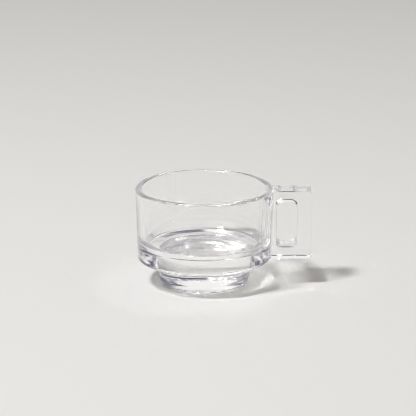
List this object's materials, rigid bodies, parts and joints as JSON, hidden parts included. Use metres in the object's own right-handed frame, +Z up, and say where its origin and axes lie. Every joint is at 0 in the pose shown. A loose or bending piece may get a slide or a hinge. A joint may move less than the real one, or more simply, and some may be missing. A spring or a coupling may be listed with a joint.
{
  "type": "glass espresso cup",
  "caption": "Clear pressed-glass espresso cup: a drum-shaped bowl on a narrower stacking foot, with a square loop handle level with the rim.",
  "frame": {"origin": "on the table, at the middle of the cup's footprint: halfway between the far side of the bowl and the handle's end", "axes": "+Z up along the bowl's axis, +X from the bowl to the handle, Y across the handle; the bowl's axis is at x = -9.925 mm"},
  "size_m": [0.0898, 0.07, 0.0506],
  "materials": {
    "clear_glass": "colourless soda-lime glass, pressed and fire-polished"
  },
  "bodies": {
    "root": {"bowl": "clear_glass", "foot": "clear_glass", "handle": "clear_glass"}
  },
  "joints": []
}
